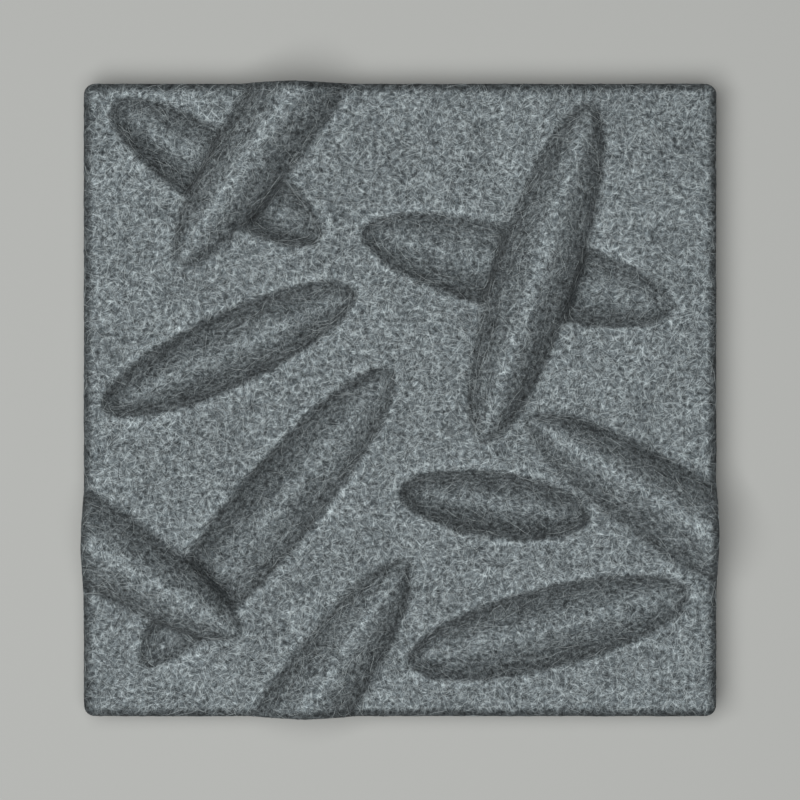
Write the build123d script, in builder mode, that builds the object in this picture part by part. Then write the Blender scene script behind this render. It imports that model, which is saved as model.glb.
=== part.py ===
"""A square acoustic wall panel, pressed from one mat of felt.

Its face is a flat field with long ovals on it, some raised and some sunken. The raised ovals lie across
sunken ones, and two of them run over the panel's borders into the next panel. The felt is one thickness on
its flats and thinner on the ovals' steep flanks, so the back is open and the panel stands on its rim. It
lies on its back: +X is to the right on the face, +Y up the face and +Z out of it. The origin is the middle
of the back.
"""

from build123d import *

import os
from dataclasses import dataclass
from math import cos, radians, sin, tan

# Driving dimensions, in millimetres
panel_side = 585.0  # a square, for setting out on a 600 mm grid
field_height = 54.0  # the flat field of the face, above the back
felt_thickness = 9.0  # the pressed mat, on its flats
corner_radius = 10.0  # the panel's four corners, seen from the front
hollow_corner_radius = 4.0  # the same corners, inside the open back
rim_radius = 6.0  # the front edge of the field, all round
oval_rise = 36.0  # the crown of a raised oval, above the field
oval_depth = 34.0  # the floor of a sunken oval, below the field
flank_angle = 60.0  # degrees, how steeply an oval's flank leaves the field
flank_share = 0.4  # how much of the height the flank climbs at about that angle
crown_share = 0.25  # how much of the half-width the crown is round over
stations = (-82, -60, -32, 0, 32, 60, 82)  # degrees round an oval's outline, where its section is set

hollow_side = panel_side - 2 * felt_thickness
hollow_height = field_height - felt_thickness
crown_height = field_height + oval_rise


@dataclass(frozen=True)
class Oval:
    """A long oval of the relief, by its outline in the plane of the field."""

    across: float  # its middle, from the middle of the panel, in panel sides
    up: float
    turn: float  # degrees from level, counterclockwise
    length: float
    width: float
    panels_across: int = 0  # where the same oval of a neighbouring panel runs over a border into this one
    panels_up: int = 0


raised_ovals = [
    Oval(across=0.475, up=-0.2, turn=-32, length=380, width=80, panels_across=-1),
    Oval(across=-0.17, up=0.48, turn=56, length=380, width=80, panels_up=-1),
    Oval(across=0.215, up=0.2, turn=72, length=330, width=78),
]
sunken_ovals = [
    Oval(across=-0.29, up=0.36, turn=-33, length=230, width=72),
    Oval(across=0.185, up=0.205, turn=-14, length=300, width=80),
    Oval(across=-0.27, up=0.08, turn=25, length=260, width=70),
    Oval(across=-0.21, up=-0.185, turn=50, length=360, width=78),
    Oval(across=0.15, up=-0.165, turn=-8, length=180, width=62),
    Oval(across=0.235, up=-0.36, turn=14, length=270, width=76),
]


def middles(oval):
    """Where the oval's middle lies, and that of a neighbour's that runs over into this panel."""
    spots = {(oval.across, oval.up), (oval.across + oval.panels_across, oval.up + oval.panels_up)}
    return [(across * panel_side, up * panel_side) for across, up in sorted(spots)]


def mound(oval, height, growth, way):
    """An oval's solid, grown all round: a spindle with a keel, up from the field (way 1) or down (-1)."""
    half_width = oval.width / 2 + growth
    half_length = oval.length / 2 + growth
    flank_rise = flank_share * height
    flank_run = flank_rise / tan(radians(flank_angle))
    with BuildPart() as spindle:
        for station in stations:
            along = half_length * sin(radians(station))
            size = cos(radians(station))
            foot = size * half_width
            crown = way * size * height
            crown_run = crown_share * foot
            knee = (foot - size * flank_run, way * size * flank_rise)
            with BuildSketch(Plane.YZ.offset(along)):
                with BuildLine():
                    Bezier((0, crown), (crown_run, crown), knee, (foot, 0))
                    Polyline(
                        (foot, 0),
                        (foot, -way * field_height),
                        (-foot, -way * field_height),
                        (-foot, 0),
                    )
                    Bezier((-foot, 0), (-knee[0], knee[1]), (-crown_run, crown), (0, crown))
                make_face()
        loft()
    return spindle.part


def mounds(ovals, height, growth=0.0, way=1):
    """The ovals' solids, each where it lies on the panel."""
    with BuildPart() as laid_out:
        for oval in ovals:
            spindle = mound(oval, height, growth, way)
            with Locations([(x, y, field_height) for x, y in middles(oval)]):
                add(spindle, rotation=(0, 0, oval.turn))
    return laid_out.part


def ridges(side, corner, height, growth=0.0):
    """The raised ovals, carried straight down to the back, as far as they lie within a square."""
    with BuildPart() as trimmed:
        add(mounds(raised_ovals, height, growth))
        with BuildSketch():
            RectangleRounded(side, side, corner)
        extrude(amount=2 * crown_height, mode=Mode.INTERSECT)
    return trimmed.part


with BuildPart() as back_hollow:
    with BuildSketch():
        RectangleRounded(hollow_side, hollow_side, hollow_corner_radius)
    extrude(amount=hollow_height)
    add(mounds(sunken_ovals, oval_depth + felt_thickness, felt_thickness, way=-1), mode=Mode.SUBTRACT)
    add(ridges(hollow_side, hollow_corner_radius, oval_rise - felt_thickness, -felt_thickness))

with BuildPart() as felt_panel:
    with BuildSketch():
        RectangleRounded(panel_side, panel_side, corner_radius)
    extrude(amount=field_height)
    fillet(felt_panel.edges().group_by(Axis.Z)[-1], rim_radius)
    add(mounds(sunken_ovals, oval_depth, way=-1), mode=Mode.SUBTRACT)
    add(ridges(panel_side, corner_radius, oval_rise))
    add(back_hollow.part, mode=Mode.SUBTRACT)

felt_panel.part.label = "felt_panel"
os.makedirs("parts", exist_ok=True)
export_step(felt_panel.part, "parts/felt_panel.step")
print(f"felt_panel: {len(felt_panel.solids())} solid, {felt_panel.part.volume / 1e6:.3f} litres")
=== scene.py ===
"""Looks of a square acoustic wall panel, pressed from one mat of grey melange felt.

The panel lies on its back and the camera looks straight down on its face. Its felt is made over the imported
solid: a mesh that follows the solid's face and back, softened as felt is, and loose fibres that lie on it.
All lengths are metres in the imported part's frame, and names that end in _mm are millimetres.
"""

from __future__ import annotations

import logging
import math
from dataclasses import dataclass
from enum import Enum
from typing import Any

import bpy
import numpy as np
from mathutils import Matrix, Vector

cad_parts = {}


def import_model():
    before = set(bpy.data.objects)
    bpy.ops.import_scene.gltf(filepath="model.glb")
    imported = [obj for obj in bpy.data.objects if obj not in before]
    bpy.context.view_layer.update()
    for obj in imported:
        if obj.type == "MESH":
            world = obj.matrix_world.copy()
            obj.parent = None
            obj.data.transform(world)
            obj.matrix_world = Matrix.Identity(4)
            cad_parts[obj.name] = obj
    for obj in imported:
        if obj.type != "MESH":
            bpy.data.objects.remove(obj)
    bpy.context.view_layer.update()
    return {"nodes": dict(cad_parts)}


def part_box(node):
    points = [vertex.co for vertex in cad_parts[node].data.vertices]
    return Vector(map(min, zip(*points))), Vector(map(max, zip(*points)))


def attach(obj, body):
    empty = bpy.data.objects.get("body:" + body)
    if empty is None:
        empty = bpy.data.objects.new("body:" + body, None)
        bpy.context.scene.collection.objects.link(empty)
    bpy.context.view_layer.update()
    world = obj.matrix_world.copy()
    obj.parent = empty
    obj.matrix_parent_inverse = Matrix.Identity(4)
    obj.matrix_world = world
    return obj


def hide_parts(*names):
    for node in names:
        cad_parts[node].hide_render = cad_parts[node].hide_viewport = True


LOG = logging.getLogger("acoustic_panel")

NODE = "felt_panel"
BODY = "root"
BAKE_MAP = "OFBake"
MM = 0.001

# What the mat's mesh keeps by name, for its making, its finish, its fibres and its map
PLAN = "plan"  # the place on a square from -1 to 1
FACE_HEIGHT = "face_height"
BACK_HEIGHT = "back_height"
FLANK = "flank"  # from 0 on flats to 1 on steep flanks and the rim, and partly on the walls; the felt's painted shade follows it
CREST = "crest"  # from -1 in creases, hollows and on the rim to 1 on crests; the felt's painted highlight and painted shade follow it
BEHIND = "behind"

FLAT = 0.98  # the upright part of the normal, where felt counts as flat
STEEP = 0.6  # and where it counts as steep
PLUMB = 1.0  # how far above or below the panel's back a plumb line starts
NOISE_SPAN = (0.3, 0.7)  # where nearly all of a noise's values lie

# Blender's names for the nodes that are used most
MATH = "ShaderNodeMath"
VECTOR_MATH = "ShaderNodeVectorMath"
MAP_RANGE = "ShaderNodeMapRange"
NOISE = "ShaderNodeTexNoise"
SPLIT = "ShaderNodeSeparateXYZ"
COMBINE = "ShaderNodeCombineXYZ"
POSITION = "GeometryNodeInputPosition"
SET_POSITION = "GeometryNodeSetPosition"
STORE = "GeometryNodeStoreNamedAttribute"
STORED = "GeometryNodeInputNamedAttribute"

Tree = bpy.types.NodeTree
Node = bpy.types.Node
Socket = bpy.types.NodeSocket

# The socket that a tree's input has, by the kind of value that it takes
SOCKETS = {
    int: "NodeSocketInt",
    float: "NodeSocketFloat",
    bpy.types.Object: "NodeSocketObject",
    bpy.types.Material: "NodeSocketMaterial",
}


def linear(colour: str) -> tuple[float, float, float, float]:
    """Turns an sRGB hex colour into linear light.

    Args:
        colour: The colour, written as #rrggbb.

    Returns:
        Red, green, blue and an alpha of 1.
    """
    shares = (int(colour[at : at + 2], 16) / 255 for at in (1, 3, 5))
    light = [share / 12.92 if share <= 0.04045 else ((share + 0.055) / 1.055) ** 2.4 for share in shares]
    return (*light, 1.0)


def in_use(sockets: Any, name: str = "") -> Socket:
    """Finds the first socket in use, of a name or of any.

    Args:
        sockets: A node's inputs or outputs.
        name: The socket's name, or nothing for any.

    Returns:
        The socket.
    """
    return next(socket for socket in sockets if socket.enabled and name in ("", socket.name))


def add_node(tree: Tree, kind: str, inputs: dict | None = None, **settings: Any) -> Node:
    """Adds a node with its settings, values and links.

    Args:
        tree: The tree that gets the node.
        kind: The node's type in Blender.
        inputs: For each socket's name or place, its value or what is linked to it: an output, a node, which
            stands for its first output in use, or a list of these.
        settings: The node's own properties.

    Returns:
        The new node.
    """
    node = tree.nodes.new(kind)
    for name, value in settings.items():
        setattr(node, name, value)
    for key, value in (inputs or {}).items():
        socket = node.inputs[key] if isinstance(key, int) else in_use(node.inputs, key)
        for source in value if isinstance(value, list) else [value]:
            if isinstance(source, Node):
                source = in_use(source.outputs)
            if isinstance(source, Socket):
                tree.links.new(source, socket)
            else:
                socket.default_value = source
    return node


def new_tree(name: str, values: dict[str, Any]) -> tuple[Tree, dict[str, Socket]]:
    """Starts a Geometry Nodes tree with named inputs and one geometry output.

    Args:
        name: The tree's name.
        values: For each input's name, the value that it will have.

    Returns:
        The tree, and its inputs by name.
    """
    tree = bpy.data.node_groups.new(name, "GeometryNodeTree")
    tree.interface.new_socket("Geometry", in_out="OUTPUT", socket_type="NodeSocketGeometry")
    for label, value in values.items():
        kind = next(socket for sort, socket in SOCKETS.items() if isinstance(value, sort))
        tree.interface.new_socket(label, in_out="INPUT", socket_type=kind)
    given = tree.nodes.new("NodeGroupInput")
    return tree, {socket.name: socket for socket in given.outputs if socket.name}


def end_tree(tree: Tree, geometry: Node, material: Socket) -> None:
    """Ends a tree in smooth, plain geometry that wears a material.

    Args:
        tree: The tree.
        geometry: What the tree has made.
        material: The tree's material input.
    """
    smooth = add_node(tree, "GeometryNodeSetShadeSmooth", {"Geometry": geometry})
    real = add_node(tree, "GeometryNodeRealizeInstances", {"Geometry": smooth})
    dressed = add_node(tree, "GeometryNodeSetMaterial", {"Geometry": real, "Material": material})
    add_node(tree, "NodeGroupOutput", {"Geometry": dressed})


def mesh_from_tree(name: str, tree: Tree, values: dict[str, Any]) -> bpy.types.Object:
    """Runs a tree and keeps what it makes as a plain mesh object at the origin.

    Args:
        name: The new piece's name.
        tree: The tree that makes it.
        values: A value for each of the tree's inputs.

    Returns:
        The piece, with no modifier left on it.
    """
    piece = bpy.data.objects.new(name, bpy.data.meshes.new(name))
    bpy.context.scene.collection.objects.link(piece)
    modifier = piece.modifiers.new(tree.name, "NODES")
    modifier.node_group = tree
    for item in tree.interface.items_tree:
        if item.in_out == "INPUT":
            modifier[item.identifier] = values[item.name]
    evaluated = piece.evaluated_get(bpy.context.evaluated_depsgraph_get())
    made = bpy.data.meshes.new_from_object(evaluated)
    piece.modifiers.remove(modifier)
    empty, piece.data = piece.data, made
    bpy.data.meshes.remove(empty)
    made.name = name
    return piece


def new_material(name: str, values: dict[str, Any]) -> tuple[bpy.types.Material, Node]:
    """Starts a material with what is the same all over its surface.

    Args:
        name: The material's name.
        values: For each of the shader's sockets, its value.

    Returns:
        The material and its shader.
    """
    material = bpy.data.materials.new(name)
    material.use_nodes = True
    shader = material.node_tree.nodes["Principled BSDF"]
    for label, value in values.items():
        shader.inputs[label].default_value = value
    return material, shader


def report(piece: bpy.types.Object) -> None:
    """Logs a finished piece with its size."""
    piece.data.calc_loop_triangles()
    LOG.info("%s: %d triangles", piece.name, len(piece.data.loop_triangles))


@dataclass(frozen=True)
class MelangeFelt:
    """Polyester felt, needle-punched from dyed and undyed fibre and pressed hot.

    Fibres of several greys lie every way in the surface, so it looks speckled near by and evenly grey from
    afar. It is matt, with hardly a bloom at grazing angles and no highlight. Its steep flanks, its rim and
    its walls are painted darker, as painted shade. Crests are painted paler, part wear and part painted
    highlight, and creases and hollows are painted darker, as painted shade.
    """

    shade: str = "#454c4f"
    middle: str = "#6d7578"
    pale: str = "#a2abad"
    fibre_length_mm: float = 15.0
    fibre_width_mm: float = 1.1  # real fibres are finer than the render can show
    fibre_depth_mm: float = 4.4
    wander_mm: float = 2.4
    ways: int = 6
    first_way: float = 0.3  # of the turn from one way to the next
    way_shift: tuple[float, float, float] = (1.7, 0.9, 0.0)  # metres, so that no two ways have like fibres
    pale_grain: tuple[float, float] = (0.59, 0.70)  # the noise's values from which on a pale fibre shows
    dark_grain: tuple[float, float] = (0.41, 0.30)
    pale_cover: float = 0.8  # how well a pale fibre covers the others
    dark_cover: float = 0.75
    fleck_mm: float = 4.2
    fleck_light: tuple[float, float] = (0.36, 1.64)
    cloud_mm: float = 42.0
    cloud_light: tuple[float, float] = (0.87, 1.13)
    flank_painted_shade: float = 0.5  # painted shade: how light the steepest flanks, the rim and the walls are painted, beside the flats
    wear_and_painted_light: float = 0.26  # how much paler crests are painted, part wear and part painted highlight, and how much darker creases and hollows are painted, as painted shade
    fleck_rise: float = 1.5  # how high flecks stand, beside fibres
    relief_mm: float = 0.5
    relief_strength: float = 0.55
    roughness: float = 0.95
    specular: float = 0.12
    sheen: float = 0.03
    sheen_roughness: float = 0.6

    def build(self) -> bpy.types.Material:
        """Makes the felt's material.

        Returns:
            The material, which reads the piece's own coordinates and marks.
        """
        material, shader = new_material(
            "needle_punched_melange_felt",
            {
                "Roughness": self.roughness,
                "Specular IOR Level": self.specular,
                "Sheen Weight": self.sheen,
                "Sheen Roughness": self.sheen_roughness,
            },
        )
        tree = material.node_tree
        place = add_node(tree, "ShaderNodeTexCoord").outputs["Object"]
        pale, dark = self._fibres(tree, self._bent(tree, place))
        fleck, cloud = (
            add_node(tree, NOISE, {"Vector": place, "Scale": 1 / (grain_mm * MM), "Detail": 3.0})
            for grain_mm in (self.fleck_mm, self.cloud_mm)
        )
        colour = linear(self.middle)
        for mask, cover, fibre in ((dark, self.dark_cover, self.shade), (pale, self.pale_cover, self.pale)):
            share = add_node(tree, MATH, {0: mask, 1: cover}, operation="MULTIPLY")
            layers = {"Factor": share, "A": colour, "B": linear(fibre)}
            colour = add_node(tree, "ShaderNodeMix", layers, data_type="RGBA")
        light = self._lightness_with_painted_light(tree, fleck, cloud)
        tinted = add_node(tree, VECTOR_MATH, {0: colour, "Scale": light}, operation="SCALE")
        relief = self._relief(tree, pale, dark, fleck)
        tree.links.new(tinted.outputs["Vector"], shader.inputs["Base Color"])
        tree.links.new(relief.outputs["Normal"], shader.inputs["Normal"])
        return material

    def _bent(self, tree: Tree, place: Socket) -> Node:
        """Coordinates that wander a little, so that straight streaks become curled fibres.

        Args:
            tree: The material's tree.
            place: Coordinates in metres.

        Returns:
            The wandering coordinates.
        """
        scale = 1 / (self.fibre_length_mm * MM)
        drift = add_node(tree, NOISE, {"Vector": place, "Scale": scale, "Detail": 1.0}).outputs["Color"]
        reach = (2 * self.wander_mm * MM,) * 3
        return add_node(tree, VECTOR_MATH, {0: drift, 1: reach, 2: place}, operation="MULTIPLY_ADD")

    def _fibres(self, tree: Tree, place: Node) -> tuple[Node, Node]:
        """Where pale and dark fibres lie: long thin grains, turned several ways and laid over each other.

        Args:
            tree: The material's tree.
            place: Wandering coordinates in metres.

        Returns:
            How much of a pale fibre, and how much of a dark one, is at each point.
        """
        grain_mm = (self.fibre_length_mm, self.fibre_width_mm, self.fibre_depth_mm)
        scale = tuple(1 / (size_mm * MM) for size_mm in grain_mm)
        masks: list[Any] = [0.0, 0.0]
        for way in range(self.ways):
            turn = math.pi * (way + self.first_way) / self.ways
            shift = tuple(way * metres for metres in self.way_shift)
            turned = add_node(
                tree,
                "ShaderNodeMapping",
                {"Vector": place, "Location": shift, "Rotation": (0.0, 0.0, turn)},
            )
            stretched = add_node(tree, VECTOR_MATH, {0: turned, 1: scale}, operation="MULTIPLY")
            grain = add_node(
                tree, NOISE, {"Vector": stretched, "Scale": 1.0, "Detail": 1.0, "Roughness": 0.6}
            )
            for number, (start, end) in enumerate((self.pale_grain, self.dark_grain)):
                share = add_node(
                    tree,
                    MAP_RANGE,
                    {"Value": grain, "From Min": start, "From Max": end},
                    interpolation_type="SMOOTHSTEP",
                )
                masks[number] = add_node(tree, MATH, {0: masks[number], 1: share}, operation="MAXIMUM")
        return masks[0], masks[1]

    def _lightness_with_painted_light(self, tree: Tree, fleck: Node, cloud: Node) -> Node:
        """How light the felt is at each point, from its flecks and its uneven mixing, with painted shade on
        its flanks, rim, walls, creases and hollows, and crests made paler, part wear and part painted
        highlight.

        Args:
            tree: The material's tree.
            fleck: Fine noise.
            cloud: Broad noise.

        Returns:
            A factor about 1.
        """
        flank, crest = (
            add_node(tree, "ShaderNodeAttribute", attribute_name=name).outputs["Fac"]
            for name in (FLANK, CREST)
        )
        light: Any = 1.0
        for cause, (start, end), (least, most) in (
            (fleck, NOISE_SPAN, self.fleck_light),
            (cloud, NOISE_SPAN, self.cloud_light),
            # painted shade: steep flanks, the rim and the walls are painted darker
            (flank, (0.0, 1.0), (1.0, self.flank_painted_shade)),
            # crests painted paler, part wear and part painted highlight; creases and hollows painted darker,
            # as painted shade
            (crest, (-1.0, 1.0), (1 - self.wear_and_painted_light, 1 + self.wear_and_painted_light)),
        ):
            share = add_node(
                tree,
                MAP_RANGE,
                {"Value": cause, "From Min": start, "From Max": end, "To Min": least, "To Max": most},
            )
            light = add_node(tree, MATH, {0: light, 1: share}, operation="MULTIPLY")
        return light

    def _relief(self, tree: Tree, pale: Node, dark: Node, fleck: Node) -> Node:
        """The felt's fine relief: pale fibres lie on top, dark ones deeper, on a napped ground.

        Args:
            tree: The material's tree.
            pale: Where pale fibres lie.
            dark: Where dark fibres lie.
            fleck: Fine noise.

        Returns:
            The bent normal.
        """
        strands = add_node(tree, MATH, {0: pale, 1: dark}, operation="SUBTRACT")
        height = add_node(tree, MATH, {0: fleck, 1: self.fleck_rise, 2: strands}, operation="MULTIPLY_ADD")
        return add_node(
            tree,
            "ShaderNodeBump",
            {"Height": height, "Strength": self.relief_strength, "Distance": self.relief_mm * MM},
        )


class FibreTone(Enum):
    """The greys that the loose fibres come in."""

    PALE = "#b1b9ba"
    MIDDLE = "#777e81"
    DARK = "#353a3e"


@dataclass(frozen=True)
class LooseFibre:
    """Crimped polyester staple fibre, as the needles leave it on the face.

    Each fibre is one even grey with a faint gloss along it, a little lighter or darker from place to place.
    """

    tone: FibreTone
    drift_mm: float = 6.0
    drift_light: tuple[float, float] = (0.8, 1.2)
    roughness: float = 0.7
    specular: float = 0.3

    def build(self) -> bpy.types.Material:
        """Makes the fibre's material.

        Returns:
            The material, which reads the piece's own coordinates.
        """
        material, shader = new_material(
            f"crimped_polyester_fibre_{self.tone.name.lower()}",
            {"Roughness": self.roughness, "Specular IOR Level": self.specular},
        )
        tree = material.node_tree
        place = add_node(tree, "ShaderNodeTexCoord").outputs["Object"]
        drift = add_node(tree, NOISE, {"Vector": place, "Scale": 1 / (self.drift_mm * MM), "Detail": 1.0})
        (start, end), (least, most) = NOISE_SPAN, self.drift_light
        light = add_node(
            tree,
            MAP_RANGE,
            {"Value": drift, "From Min": start, "From Max": end, "To Min": least, "To Max": most},
        )
        grey = linear(self.tone.value)[:3]
        colour = add_node(tree, VECTOR_MATH, {0: grey, "Scale": light}, operation="SCALE")
        tree.links.new(colour.outputs["Vector"], shader.inputs["Base Color"])
        return material


@dataclass
class FeltMat:
    """The pressed mat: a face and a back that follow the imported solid, joined over a rounded rim."""

    solid: bpy.types.Object
    side: float
    finish: MelangeFelt
    cells: int = 200
    corner_radius: float = 10 * MM
    rim_radius: float = 6 * MM
    felt_thickness: float = 9 * MM
    hollow_corner: float = 4 * MM
    foot_radius: float = 1.5 * MM
    wall_steps: int = 4
    rim_steps: int = 5
    softening: int = 1
    probe_inset: float = 0.5 * MM  # so that no plumb line runs down the inside of the rim
    weld: float = 0.01 * MM
    unevenness: float = 0.5 * MM
    swell: float = 28 * MM
    even_below: float = 2 * MM  # how high up the walls are even
    uneven_above: float = 14 * MM  # and from where on they are as uneven as the face
    rim_shade_width: float = 9 * MM  # the band along the border that is painted as dark as the steepest flanks, as painted shade
    wall_painted_shade: float = 0.6  # how much of the flanks' painted shade the walls under it get
    crest_reach: int = 8  # blurring steps, each of a cell, that a crest is measured against
    crest_height: float = 1.3 * MM

    def build(self) -> bpy.types.Object:
        """Makes the mat and dresses it.

        Returns:
            The finished piece.
        """
        values = {
            "Solid": self.solid,
            "Cells": self.cells,
            "Half Side": self.side / 2,
            "Corner Radius": self.corner_radius,
            "Rim Radius": self.rim_radius,
            "Felt Thickness": self.felt_thickness,
            "Hollow Corner": self.hollow_corner,
            "Foot Radius": self.foot_radius,
            "Softening": self.softening,
            "Probe Inset": self.probe_inset,
            "Weld": self.weld,
            "Unevenness": self.unevenness,
            "Swell": self.swell,
            "Even Below": self.even_below,
            "Uneven Above": self.uneven_above,
            "Border Width": self.rim_shade_width,
            "Wall Pressing": self.wall_painted_shade,
            "Crest Reach": self.crest_reach,
            "Crest Height": self.crest_height,
            "Felt": self.finish.build(),
        }
        mat = mesh_from_tree("felt_mat", self._tree(values), values)
        self._lay_out_map(mat.data)
        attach(mat, BODY)
        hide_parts(NODE)
        return mat

    def _tree(self, values: dict[str, Any]) -> Tree:
        """Builds the tree that shapes the mat.

        A square sheet lies on the back of the felt. It is drawn out step by step down the inside of the
        rim, under it, up the outer wall and over the rim, and ends as the face.

        Args:
            values: A value for each of the tree's inputs.

        Returns:
            The tree.
        """
        tree, size = new_tree("felt_mat_form", values)
        rounded = self._rounded_square()
        stored = {
            name: add_node(tree, STORED, {"Name": name}, data_type=kind)
            for name, kind in (
                (PLAN, "FLOAT_VECTOR"),
                (FACE_HEIGHT, "FLOAT"),
                (BACK_HEIGHT, "FLOAT"),
                (FLANK, "FLOAT"),
                (CREST, "FLOAT"),
            )
        }

        def spot(inset: Any, corner: Any, height: Any) -> Node:
            """Where the sheet's points come to lie.

            Args:
                inset: How far the sheet is drawn in from the panel's border.
                corner: Its corner radius.
                height: Its height.

            Returns:
                Each point's place.
            """
            half = add_node(tree, MATH, {0: size["Half Side"], 1: inset}, operation="SUBTRACT")
            plan = {"Plan": stored[PLAN], "Half Side": half, "Corner Radius": corner}
            place = add_node(tree, "GeometryNodeGroup", plan, node_tree=rounded)
            apart = add_node(tree, SPLIT, {0: place}).outputs
            return add_node(tree, COMBINE, {"X": apart["X"], "Y": apart["Y"], "Z": height})

        sheet = self._sheet(tree, size)
        for name, value in self._heights(tree, size, spot).items():
            kept = {"Geometry": sheet, "Name": name, "Value": value}
            sheet = add_node(tree, STORE, kept, data_type="FLOAT", domain="POINT")
        crests = {"Geometry": sheet, "Name": CREST, "Value": self._crests(tree, size, stored)}
        sheet = add_node(tree, STORE, crests, data_type="FLOAT", domain="POINT")

        lain = spot(size["Felt Thickness"], size["Hollow Corner"], stored[BACK_HEIGHT])
        back = add_node(tree, SET_POSITION, {"Geometry": sheet, "Position": lain})
        drawn, top = back, True
        for inset, height, corner in self._rings(tree, size, stored[FACE_HEIGHT]):
            pulled = add_node(
                tree,
                "GeometryNodeExtrudeMesh",
                {"Mesh": drawn, "Selection": top, "Offset Scale": 0.0, "Individual": False},
                mode="FACES",
            ).outputs
            top = pulled["Top"]
            place = spot(inset, corner, height)
            drawn = add_node(
                tree, SET_POSITION, {"Geometry": pulled["Mesh"], "Selection": top, "Position": place}
            )

        turned = add_node(tree, "GeometryNodeFlipFaces", {"Mesh": back})
        marked = {"Geometry": turned, "Name": BEHIND, "Value": True}
        behind = add_node(tree, STORE, marked, data_type="BOOLEAN", domain="FACE")
        joined = add_node(tree, "GeometryNodeJoinGeometry", {"Geometry": [drawn, behind]})
        weld = {"Geometry": joined, "Distance": size["Weld"]}
        whole = add_node(tree, "GeometryNodeMergeByDistance", weld)
        swollen = {"Geometry": whole, "Offset": self._uneven(tree, size)}
        felt = add_node(tree, SET_POSITION, swollen)
        # the flank and crest marks, with the rim's and walls' painted shade
        for name, mark in zip((FLANK, CREST), self._marks_with_painted_rim_shade(tree, size, stored)):
            kept = {"Geometry": felt, "Name": name, "Value": mark}
            felt = add_node(tree, STORE, kept, data_type="FLOAT", domain="POINT")
        end_tree(tree, felt, size["Felt"])
        return tree

    def _sheet(self, tree: Tree, size: dict[str, Socket]) -> Node:
        """The square sheet, which keeps its own plan.

        Args:
            tree: The mat's tree.
            size: The tree's inputs by name.

        Returns:
            The sheet.
        """
        rows = add_node(tree, MATH, {0: size["Cells"], 1: 1}, operation="ADD")
        grid = add_node(
            tree,
            "GeometryNodeMeshGrid",
            {"Size X": 2.0, "Size Y": 2.0, "Vertices X": rows, "Vertices Y": rows},
        )
        plan = {"Geometry": grid, "Name": PLAN, "Value": add_node(tree, POSITION)}
        return add_node(tree, STORE, plan, data_type="FLOAT_VECTOR", domain="POINT")

    def _heights(self, tree: Tree, size: dict[str, Socket], spot: Any) -> dict[str, Node]:
        """What plumb lines from above and from below meet on the solid, softened as felt is.

        Args:
            tree: The mat's tree.
            size: The tree's inputs by name.
            spot: Gives the points' places for an inset, a corner radius and a height.

        Returns:
            The face's height, the back's height and the flank mark, by the names they are kept under.
        """
        solid = add_node(
            tree, "GeometryNodeObjectInfo", {"Object": size["Solid"]}, transform_space="ORIGINAL"
        ).outputs["Geometry"]
        corners = {0: size["Corner Radius"], 1: size["Rim Radius"]}
        face_corner = add_node(tree, MATH, corners, operation="SUBTRACT")
        insets = {0: size["Felt Thickness"], 1: size["Probe Inset"]}
        back_inset = add_node(tree, MATH, insets, operation="ADD")
        face_line, back_line = (
            add_node(
                tree,
                "GeometryNodeRaycast",
                {
                    "Target Geometry": solid,
                    "Source Position": spot(inset, corner, start),
                    "Ray Direction": (0.0, 0.0, -start),
                    "Ray Length": 2 * PLUMB,
                },
            ).outputs
            for inset, corner, start in (
                (size["Rim Radius"], face_corner, PLUMB),
                (back_inset, size["Hollow Corner"], -PLUMB),
            )
        )
        face, back, upright = (
            add_node(
                tree,
                "GeometryNodeBlurAttribute",
                {"Value": add_node(tree, SPLIT, {0: met}).outputs["Z"], "Iterations": size["Softening"]},
                data_type="FLOAT",
            )
            for met in (face_line["Hit Position"], back_line["Hit Position"], face_line["Hit Normal"])
        )
        flank = add_node(tree, MAP_RANGE, {"Value": upright, "From Min": FLAT, "From Max": STEEP})
        return {FACE_HEIGHT: face, BACK_HEIGHT: back, FLANK: flank}

    def _crests(self, tree: Tree, size: dict[str, Socket], stored: dict[str, Node]) -> Node:
        """Where the felt stands above its surroundings, except on flanks, and where it lies in a crease.

        Args:
            tree: The mat's tree.
            size: The tree's inputs by name.
            stored: What the sheet keeps, by name.

        Returns:
            From -1 in a sharp crease to 1 on a crest.
        """
        face, height = stored[FACE_HEIGHT], size["Crest Height"]
        around = add_node(
            tree,
            "GeometryNodeBlurAttribute",
            {"Value": face, "Iterations": size["Crest Reach"]},
            data_type="FLOAT",
        )
        above = add_node(tree, MATH, {0: face, 1: around}, operation="SUBTRACT")
        crease, deepest = (
            add_node(tree, MATH, {0: height, 1: times}, operation="MULTIPLY") for times in (-1.0, -2.0)
        )
        raised = add_node(tree, MAP_RANGE, {"Value": above, "From Min": 0.0, "From Max": height})
        sunk = add_node(tree, MAP_RANGE, {"Value": above, "From Min": crease, "From Max": deepest})
        flat = add_node(tree, MATH, {0: 1.0, 1: stored[FLANK]}, operation="SUBTRACT")
        crest = add_node(tree, MATH, {0: raised, 1: flat}, operation="MULTIPLY")
        return add_node(tree, MATH, {0: crest, 1: sunk}, operation="SUBTRACT")

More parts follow.
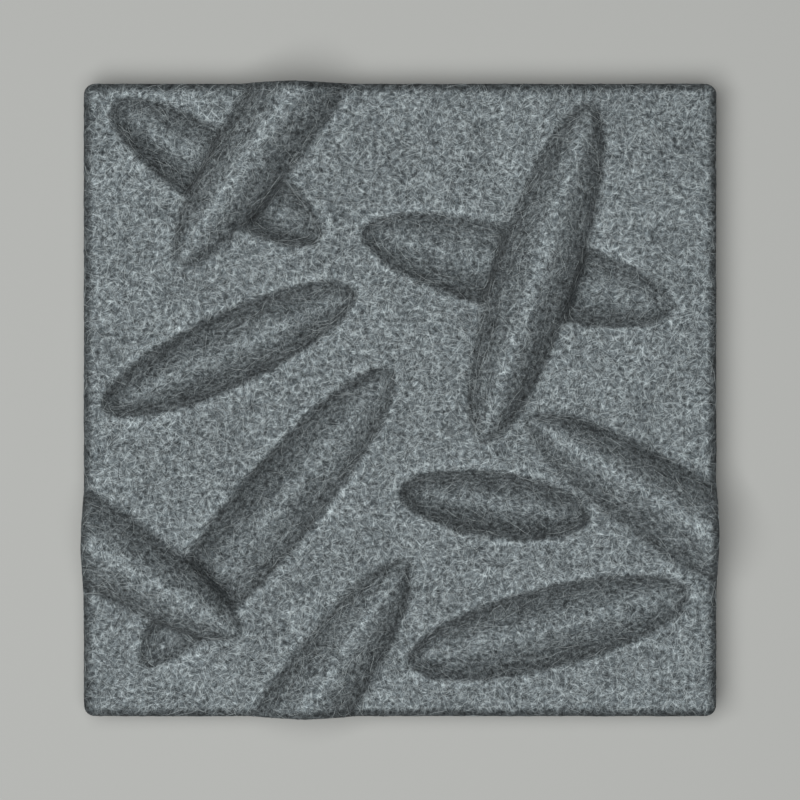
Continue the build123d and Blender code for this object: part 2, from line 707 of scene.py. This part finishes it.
    def _marks_with_painted_rim_shade(
        self, tree: Tree, size: dict[str, Socket], stored: dict[str, Node]
    ) -> tuple[Node, Node]:
        """The flank and crest marks of the whole mat, with painted shade on the rim and the walls.

        The rim is marked as a steep flank and as the deepest crease, so it gets both painted shades in full,
        and the walls under it get part of the flanks' painted shade. What marks the face fades out down the
        walls.

        Args:
            tree: The mat's tree.
            size: The tree's inputs by name.
            stored: What the mat keeps, by name.

        Returns:
            The flank mark and the crest mark.
        """
        width, wall_shade = size["Border Width"], size["Wall Pressing"]
        apart = add_node(tree, SPLIT, {0: add_node(tree, POSITION)}).outputs
        across, up = (add_node(tree, MATH, {0: apart[axis]}, operation="ABSOLUTE") for axis in "XY")
        furthest = add_node(tree, MATH, {0: across, 1: up}, operation="MAXIMUM")
        inset = add_node(tree, MATH, {0: size["Half Side"], 1: furthest}, operation="SUBTRACT")
        drop = add_node(tree, MATH, {0: stored[FACE_HEIGHT], 1: apart["Z"]}, operation="SUBTRACT")
        half, twice = (
            add_node(tree, MATH, {0: width, 1: times}, operation="MULTIPLY") for times in (0.5, 2.0)
        )
        border = add_node(tree, MAP_RANGE, {"Value": inset, "From Min": width, "From Max": half})
        near_face = add_node(tree, MAP_RANGE, {"Value": drop, "From Min": twice, "From Max": width})
        rim = add_node(tree, MATH, {0: border, 1: near_face}, operation="MULTIPLY")

        # painted shade: the walls get a share of the flanks' painted shade, and the rim all of it
        more = add_node(tree, MATH, {0: 1.0, 1: wall_shade}, operation="SUBTRACT")
        pressed = add_node(tree, MATH, {0: near_face, 1: more, 2: wall_shade}, operation="MULTIPLY_ADD")
        wall = add_node(tree, MATH, {0: border, 1: pressed}, operation="MULTIPLY")
        faded = add_node(tree, MATH, {0: stored[FLANK], 1: near_face}, operation="MULTIPLY")
        flank = add_node(tree, MATH, {0: faded, 1: wall}, operation="MAXIMUM")

        # painted shade: the rim is marked as the deepest crease
        off_rim = add_node(tree, MATH, {0: 1.0, 1: rim}, operation="SUBTRACT")
        inner = add_node(tree, MATH, {0: near_face, 1: off_rim}, operation="MULTIPLY")
        lessened = add_node(tree, MATH, {0: stored[CREST], 1: inner}, operation="MULTIPLY")
        crest = add_node(tree, MATH, {0: lessened, 1: rim}, operation="SUBTRACT")
        return flank, crest

    def _rings(self, tree: Tree, size: dict[str, Socket], face: Node) -> list[tuple[Any, Any, Any]]:
        """The rings that the sheet is drawn through, from inside the rim to the face.

        Args:
            tree: The mat's tree.
            size: The tree's inputs by name.
            face: The face's height.

        Returns:
            Each ring's inset from the panel's border, its height and its corner radius.
        """
        foot, thick, rim = size["Foot Radius"], size["Felt Thickness"], size["Rim Radius"]
        corner, hollow = size["Corner Radius"], size["Hollow Corner"]
        lip = add_node(tree, MATH, {0: thick, 1: foot}, operation="SUBTRACT")
        foot_corner = add_node(tree, MATH, {0: corner, 1: foot}, operation="SUBTRACT")
        rings = [(thick, foot, hollow), (lip, 0.0, hollow), (foot, 0.0, foot_corner)]
        wall_top = add_node(tree, MATH, {0: face, 1: rim}, operation="SUBTRACT")
        wall = add_node(tree, MATH, {0: wall_top, 1: foot}, operation="SUBTRACT")
        for step in range(self.wall_steps + 1):
            risen = {0: wall, 1: step / self.wall_steps, 2: foot}
            rings.append((0.0, add_node(tree, MATH, risen, operation="MULTIPLY_ADD"), corner))
        for step in range(1, self.rim_steps + 1):
            turn = math.pi / 2 * step / self.rim_steps
            inset = add_node(tree, MATH, {0: rim, 1: 1 - math.cos(turn)}, operation="MULTIPLY")
            risen = {0: rim, 1: math.sin(turn), 2: wall_top}
            height = add_node(tree, MATH, risen, operation="MULTIPLY_ADD")
            rim_corner = add_node(tree, MATH, {0: corner, 1: inset}, operation="SUBTRACT")
            rings.append((inset, height, rim_corner))
        return rings

    def _uneven(self, tree: Tree, size: dict[str, Socket]) -> Node:
        """How far the pressed felt swells and sinks, which fades out towards the foot of the rim.

        Args:
            tree: The mat's tree.
            size: The tree's inputs by name.

        Returns:
            The offset of each point.
        """
        place = add_node(tree, POSITION)
        scale = add_node(tree, MATH, {0: 1.0, 1: size["Swell"]}, operation="DIVIDE")
        noise = add_node(tree, NOISE, {"Vector": place, "Scale": scale, "Detail": 3.0})
        height = add_node(tree, SPLIT, {0: place}).outputs["Z"]
        fade = {"Value": height, "From Min": size["Even Below"], "From Max": size["Uneven Above"]}
        above = add_node(tree, MAP_RANGE, fade)
        centred = add_node(tree, MATH, {0: noise, 1: 0.5}, operation="SUBTRACT")
        twice = add_node(tree, MATH, {0: above, 1: 2.0}, operation="MULTIPLY")
        share = add_node(tree, MATH, {0: centred, 1: twice}, operation="MULTIPLY")
        reach = add_node(tree, MATH, {0: share, 1: size["Unevenness"]}, operation="MULTIPLY")
        normal = add_node(tree, "GeometryNodeInputNormal").outputs["Normal"]
        return add_node(tree, VECTOR_MATH, {0: normal, "Scale": reach}, operation="SCALE")

    def _rounded_square(self) -> Tree:
        """Builds the group that bends a square plan's corners round.

        A point that is within a corner's radius of both borders keeps its greater distance from the
        corner's middle, now measured along the radius.

        Returns:
            The group.
        """
        group = bpy.data.node_groups.new("rounded_square", "GeometryNodeTree")
        for name, way, kind in (
            ("Plan", "INPUT", "NodeSocketVector"),
            ("Half Side", "INPUT", "NodeSocketFloat"),
            ("Corner Radius", "INPUT", "NodeSocketFloat"),
            ("Place", "OUTPUT", "NodeSocketVector"),
        ):
            group.interface.new_socket(name, in_out=way, socket_type=kind)
        given = group.nodes.new("NodeGroupInput").outputs
        half, radius = given["Half Side"], given["Corner Radius"]
        place = add_node(group, VECTOR_MATH, {0: given["Plan"], "Scale": half}, operation="SCALE")
        straight = add_node(group, MATH, {0: half, 1: radius}, operation="SUBTRACT")
        most = add_node(group, COMBINE, {"X": straight, "Y": straight})
        least = add_node(group, VECTOR_MATH, {0: most, "Scale": -1.0}, operation="SCALE")
        not_below = add_node(group, VECTOR_MATH, {0: place, 1: least}, operation="MAXIMUM")
        middle = add_node(group, VECTOR_MATH, {0: not_below, 1: most}, operation="MINIMUM")
        arm = add_node(group, VECTOR_MATH, {0: place, 1: middle}, operation="SUBTRACT")
        reach = add_node(group, VECTOR_MATH, {0: arm}, operation="ABSOLUTE")
        apart = add_node(group, SPLIT, {0: reach}).outputs
        longest = add_node(group, MATH, {0: apart["X"], 1: apart["Y"]}, operation="MAXIMUM")
        radial = add_node(group, VECTOR_MATH, {0: arm}, operation="NORMALIZE")
        along = add_node(group, VECTOR_MATH, {0: radial, "Scale": longest}, operation="SCALE")
        bent = add_node(group, VECTOR_MATH, {0: middle, 1: along}, operation="ADD")
        add_node(group, "NodeGroupOutput", {"Place": bent})
        return group

    def _lay_out_map(self, mesh: bpy.types.Mesh) -> None:
        """Gives the mat a map: the face, the outer walls along two of its sides, and the back in a corner.

        The walls have the face's scale. The inner walls and the underside of the rim are spread out round
        the back, which is smaller. Places are shares of the panel's side.

        Args:
            mesh: The mat's mesh.
        """
        wall_upright = 0.5  # a wall's normal points up or down by less than this
        at_border = 0.497  # the outer walls are further from the middle than this
        rim_reach = 0.5 - 1.2 * self.felt_thickness / self.side  # and the inner walls further than this
        under_face = 0.08  # the inner walls' middles are lower than this, and the face beside them higher
        margin = 0.005  # between the parts of the map

        def read(items: Any, name: str, kind: type, width: int) -> np.ndarray:
            """Reads a property of all points, corners or faces.

            Args:
                items: The points, corners or faces.
                name: The property.
                kind: The kind of number that it is.
                width: How many numbers each of them has.

            Returns:
                A row for each of them.
            """
            values = np.empty(len(items) * width, kind)
            items.foreach_get(name, values)
            return values.reshape(-1, width)

        corner_of = read(mesh.loops, "vertex_index", np.int32, 1)[:, 0]
        counts = read(mesh.polygons, "loop_total", np.int32, 1)[:, 0]
        x, y, z = (read(mesh.vertices, "co", np.float32, 3)[corner_of] / self.side).T
        facing = np.repeat(read(mesh.polygons, "normal", np.float32, 3), counts, axis=0)
        middles = np.repeat(read(mesh.polygons, "center", np.float32, 3) / self.side, counts, axis=0)
        behind = np.repeat(read(mesh.attributes[BEHIND].data, "value", bool, 1)[:, 0], counts)

        out = np.abs(middles[:, :2])
        furthest = out.max(axis=1)
        steep = ~behind & (np.abs(facing[:, 2]) < wall_upright)
        looks_in = (facing[:, :2] * middles[:, :2]).sum(axis=1) < 0
        inner_wall = steep & looks_in & (middles[:, 2] < under_face) & (furthest > rim_reach)
        underside = ~behind & (middles[:, 2] < self.foot_radius / self.side)
        in_corner = out.min(axis=1) > 0.5 - self.corner_radius / self.side
        outer_wall = steep & ~inner_wall & ~underside & (in_corner | (furthest > at_border))

        tall = z.max()
        face_share = (1 - 4 * margin) / (1 + 2 * tall)
        beyond = face_share + 2 * margin
        across, up = (margin + face_share * (axis + 0.5) for axis in (x, y))
        sideways = np.abs(facing[:, 0]) > np.abs(facing[:, 1])
        second = np.where(sideways, facing[:, 0], facing[:, 1]) > 0
        risen = beyond + second * (face_share * tall + margin) + face_share * z
        across = np.where(outer_wall & sideways, risen, across)
        up = np.where(outer_wall & ~sideways, risen, up)

        back_share = 1 - margin - beyond
        spread = np.where(behind, 1.0, 1 + tall - z) * back_share / (1 + tall)
        under = behind | inner_wall | underside
        across = np.where(under, beyond + back_share / 2 + spread * x, across)
        up = np.where(under, beyond + back_share / 2 + spread * y, up)
        layer = mesh.uv_layers.new(name=BAKE_MAP)
        layer.uv.foreach_set("vector", np.stack([across, up], 1).astype(np.float32).ravel())


@dataclass
class FibreNap:
    """Loose fibres of one grey that lie over the face and the walls of the mat."""

    mat: bpy.types.Object
    finish: LooseFibre
    seed: int
    per_square_metre: float = 12000.0
    length: float = 17 * MM
    shortest: float = 0.5  # of that length
    longest: float = 1.5
    thickness: float = 0.34 * MM
    lift: float = 0.5 * MM
    crimp: float = 5 * MM
    crimp_length: float = 9 * MM
    points: int = 6
    sides: int = 3
    foot: float = 6 * MM  # the height below which the mat has none
    least_upward: float = -0.05  # the upright part of the normal, below which it has none
    flank_share: float = 0.3  # how many fibres the steepest flanks have, beside the flats
    sunk: float = 0.3  # of a fibre's thickness, how high its middle lies
    taper: float = 0.6  # how much thinner its ends are

    def build(self) -> bpy.types.Object:
        """Makes the fibres and dresses them.

        Returns:
            The finished piece.
        """
        values = {
            "Mat": self.mat,
            "Fibres per Square Metre": self.per_square_metre,
            "Length": self.length,
            "Shortest": self.shortest,
            "Longest": self.longest,
            "Thickness": self.thickness,
            "Lift": self.lift,
            "Crimp": self.crimp,
            "Crimp Length": self.crimp_length,
            "Points": self.points,
            "Sides": self.sides,
            "Foot": self.foot,
            "Least Upward": self.least_upward,
            "Flank Share": self.flank_share,
            "Sunk": self.sunk,
            "Taper": self.taper,
            "Seed": self.seed,
            "Fibre": self.finish.build(),
        }
        nap = mesh_from_tree(f"{self.finish.tone.name.lower()}_fibres", self._tree(values), values)
        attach(nap, BODY)
        return nap

    def _tree(self, values: dict[str, Any]) -> Tree:
        """Builds the tree that scatters the fibres and lays them on the mat.

        Args:
            values: A value for each of the tree's inputs.

        Returns:
            The tree.
        """
        tree, size = new_tree("loose_fibres", values)
        mat = add_node(
            tree, "GeometryNodeObjectInfo", {"Object": size["Mat"]}, transform_space="ORIGINAL"
        ).outputs["Geometry"]
        crimped = self._crimped(tree, size, self._roots(tree, size, mat))

        along = add_node(tree, "GeometryNodeSplineParameter").outputs["Factor"]
        signed = add_node(tree, MATH, {0: along, 1: 2.0, 2: -1.0}, operation="MULTIPLY_ADD")
        outwards = add_node(tree, MATH, {0: signed}, operation="ABSOLUTE")
        ends = add_node(tree, MATH, {0: outwards, 1: 2.0}, operation="POWER")
        lain = {"Geometry": crimped, "Position": self._lain(tree, size, mat, ends)}
        laid = add_node(tree, SET_POSITION, lain)

        thinning = add_node(tree, MATH, {0: size["Taper"], 1: -1.0}, operation="MULTIPLY")
        girth = add_node(tree, MATH, {0: ends, 1: thinning, 2: 1.0}, operation="MULTIPLY_ADD")
        radius = add_node(tree, MATH, {0: size["Thickness"], 1: 0.5}, operation="MULTIPLY")
        section = {"Resolution": size["Sides"], "Radius": radius}
        ring = add_node(tree, "GeometryNodeCurvePrimitiveCircle", section)
        tubes = add_node(
            tree,
            "GeometryNodeCurveToMesh",
            {"Curve": laid, "Profile Curve": ring, "Scale": girth, "Fill Caps": True},
        )
        end_tree(tree, tubes, size["Fibre"])
        return tree

    def _roots(self, tree: Tree, size: dict[str, Socket], mat: Socket) -> Node:
        """The places of the fibres on the mat: fewer on its flanks, and none on its back or at its foot.

        Args:
            tree: The fibres' tree.
            size: The tree's inputs by name.
            mat: The mat's mesh.

        Returns:
            The places, with how each lies.
        """
        normal = add_node(tree, "GeometryNodeInputNormal").outputs["Normal"]
        upward, height = (
            add_node(tree, SPLIT, {0: field}).outputs["Z"] for field in (normal, add_node(tree, POSITION))
        )
        outside = add_node(tree, MATH, {0: upward, 1: size["Least Upward"]}, operation="GREATER_THAN")
        off_foot = add_node(tree, MATH, {0: height, 1: size["Foot"]}, operation="GREATER_THAN")
        shown = add_node(tree, MATH, {0: outside, 1: off_foot}, operation="MULTIPLY")
        flank = add_node(tree, STORED, {"Name": FLANK}, data_type="FLOAT")
        thinned = add_node(tree, MAP_RANGE, {"Value": flank, "To Min": 1.0, "To Max": size["Flank Share"]})
        full = size["Fibres per Square Metre"]
        density = add_node(tree, MATH, {0: thinned, 1: full}, operation="MULTIPLY")
        return add_node(
            tree,
            "GeometryNodeDistributePointsOnFaces",
            {"Mesh": mat, "Selection": shown, "Density": density, "Seed": size["Seed"]},
            distribute_method="RANDOM",
        )

    def _crimped(self, tree: Tree, size: dict[str, Socket], roots: Node) -> Node:
        """A line at each place, turned at random and bent by its crimp.

        Args:
            tree: The fibres' tree.
            size: The tree's inputs by name.
            roots: The places.

        Returns:
            The crimped lines.
        """
        seeds = (add_node(tree, MATH, {0: size["Seed"], 1: draw}, operation="ADD") for draw in (1, 2))
        spans = ((0.0, 2 * math.pi), (size["Shortest"], size["Longest"]))
        angle, share = (
            add_node(
                tree,
                "FunctionNodeRandomValue",
                {"Min": least, "Max": most, "Seed": seed},
                data_type="FLOAT",
            )
            for seed, (least, most) in zip(seeds, spans)
        )
        tips = {"Start": (-0.5, 0.0, 0.0), "End": (0.5, 0.0, 0.0)}
        line = add_node(tree, "GeometryNodeCurvePrimitiveLine", tips)
        strand = add_node(tree, "GeometryNodeResampleCurve", {"Curve": line, "Count": size["Points"]})
        spin = add_node(
            tree, "FunctionNodeAxisAngleToRotation", {"Axis": (0.0, 0.0, 1.0), "Angle": angle}
        )
        turned = add_node(
            tree,
            "FunctionNodeRotateRotation",
            {"Rotation": roots.outputs["Rotation"], "Rotate By": spin},
            rotation_space="LOCAL",
        )
        length = add_node(tree, MATH, {0: size["Length"], 1: share}, operation="MULTIPLY")
        strands = add_node(
            tree,
            "GeometryNodeInstanceOnPoints",
            {"Points": roots.outputs["Points"], "Instance": strand, "Rotation": turned, "Scale": length},
        )
        lines = add_node(tree, "GeometryNodeRealizeInstances", {"Geometry": strands})

        scale = add_node(tree, MATH, {0: 1.0, 1: size["Crimp Length"]}, operation="DIVIDE")
        waves = {"Vector": add_node(tree, POSITION), "Scale": scale, "Detail": 0.0}
        drift = add_node(tree, NOISE, waves).outputs["Color"]
        centred = add_node(tree, VECTOR_MATH, {0: drift, 1: (0.5, 0.5, 0.5)}, operation="SUBTRACT")
        offset = add_node(tree, VECTOR_MATH, {0: centred, "Scale": size["Crimp"]}, operation="SCALE")
        return add_node(tree, SET_POSITION, {"Geometry": lines, "Offset": offset})

    def _lain(self, tree: Tree, size: dict[str, Socket], mat: Socket, ends: Node) -> Node:
        """Where a fibre's points come to lie: on the mat, its ends a little off it, and above the floor.

        Args:
            tree: The fibres' tree.
            size: The tree's inputs by name.
            mat: The mat's mesh.
            ends: From 0 in a fibre's middle to 1 at its ends.

        Returns:
            Each point's place.
        """
        near = add_node(tree, "GeometryNodeProximity", {"Geometry": mat}, target_element="FACES")
        normal = add_node(tree, "GeometryNodeInputNormal").outputs["Normal"]
        outward = add_node(
            tree,
            "GeometryNodeSampleNearestSurface",
            {"Mesh": mat, "Value": normal},
            data_type="FLOAT_VECTOR",
        )
        middle = add_node(tree, MATH, {0: size["Thickness"], 1: size["Sunk"]}, operation="MULTIPLY")
        rise = add_node(tree, MATH, {0: ends, 1: size["Lift"], 2: middle}, operation="MULTIPLY_ADD")
        lifted = add_node(tree, VECTOR_MATH, {0: outward, "Scale": rise}, operation="SCALE")
        above = add_node(tree, VECTOR_MATH, {0: near.outputs["Position"], 1: lifted}, operation="ADD")
        lowest = add_node(tree, COMBINE, {"X": -1.0, "Y": -1.0, "Z": size["Thickness"]})
        return add_node(tree, VECTOR_MATH, {0: above, 1: lowest}, operation="MAXIMUM")


@dataclass
class Studio:
    """A plain pale floor, soft light from above the camera, and the camera itself."""

    side: float
    face_height: float
    camera_height: float = 3.5
    panel_pixels: float = 640.0
    image_pixels: float = 800.0
    sensor: float = 36.0
    floor_side: float = 8.0
    floor_colour: str = "#b0b1ae"
    floor_roughness: float = 0.9
    floor_specular: float = 0.1
    key_place: tuple[float, float, float] = (-0.7, -0.4, 4.6)
    key_side: float = 3.2
    key_watts: float = 250.0
    sky: float = 0.06
    backdrop: float = 0.13

    def build(self) -> None:
        """Sets up the floor, the light, the sky and the camera."""
        self._floor()
        self._light()
        self._sky()
        self._camera()
        bpy.context.scene.view_settings.view_transform = "Standard"

    def _floor(self) -> None:
        """Lays a plain painted floor under the panel."""
        half = self.floor_side / 2
        mesh = bpy.data.meshes.new("floor")
        corners = [(-half, -half, 0.0), (half, -half, 0.0), (half, half, 0.0), (-half, half, 0.0)]
        mesh.from_pydata(corners, [], [(0, 1, 2, 3)])
        floor = bpy.data.objects.new("floor", mesh)
        bpy.context.scene.collection.objects.link(floor)
        paint, _ = new_material(
            "flat_wall_paint",
            {
                "Base Color": linear(self.floor_colour),
                "Roughness": self.floor_roughness,
                "Specular IOR Level": self.floor_specular,
            },
        )
        mesh.materials.append(paint)

    def _light(self) -> None:
        """Hangs one large soft lamp above the camera, a little to its lower left."""
        lamp = bpy.data.lights.new("softbox", "AREA")
        lamp.shape = "SQUARE"
        lamp.size = self.key_side
        lamp.energy = self.key_watts
        holder = bpy.data.objects.new("softbox", lamp)
        holder.location = self.key_place
        holder.rotation_euler = Vector(self.key_place).to_track_quat("Z", "Y").to_euler()
        bpy.context.scene.collection.objects.link(holder)

    def _sky(self) -> None:
        """Fills the shade with an even grey sky, which looks like the far floor where it is seen."""
        world = bpy.data.worlds.new("grey_sky")
        world.use_nodes = True
        tree = world.node_tree
        rays = add_node(tree, "ShaderNodeLightPath").outputs
        seen = rays["Is Camera Ray"]
        for other in ("Is Glossy Ray", "Is Transmission Ray"):
            seen = add_node(tree, MATH, {0: seen, 1: rays[other]}, operation="MAXIMUM")
        strength = add_node(tree, MAP_RANGE, {"Value": seen, "To Min": self.sky, "To Max": self.backdrop})
        background = tree.nodes["Background"]
        background.inputs["Color"].default_value = (1.0, 1.0, 1.0, 1.0)
        tree.links.new(strength.outputs["Result"], background.inputs["Strength"])
        bpy.context.scene.world = world

    def _camera(self) -> None:
        """Puts the camera straight above the panel, with the panel's top upwards."""
        view_side = self.side * self.image_pixels / self.panel_pixels
        lens = bpy.data.cameras.new("camera")
        lens.sensor_width = self.sensor
        lens.lens = self.sensor * (self.camera_height - self.face_height) / view_side
        camera = bpy.data.objects.new("camera", lens)
        camera.location = (0.0, 0.0, self.camera_height)
        bpy.context.scene.collection.objects.link(camera)
        bpy.context.scene.camera = camera


def main() -> None:
    """Builds the panel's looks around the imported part."""
    logging.basicConfig(level=logging.INFO, format="%(name)s: %(message)s")
    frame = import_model()
    low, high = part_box(NODE)
    side = high[0] - low[0]

    mat = FeltMat(frame["nodes"][NODE], side, MelangeFelt()).build()
    report(mat)
    for seed, tone in enumerate(FibreTone, start=1):
        report(FibreNap(mat, LooseFibre(tone), seed).build())
    Studio(side, high[2]).build()


if __name__ == "__main__":
    main()
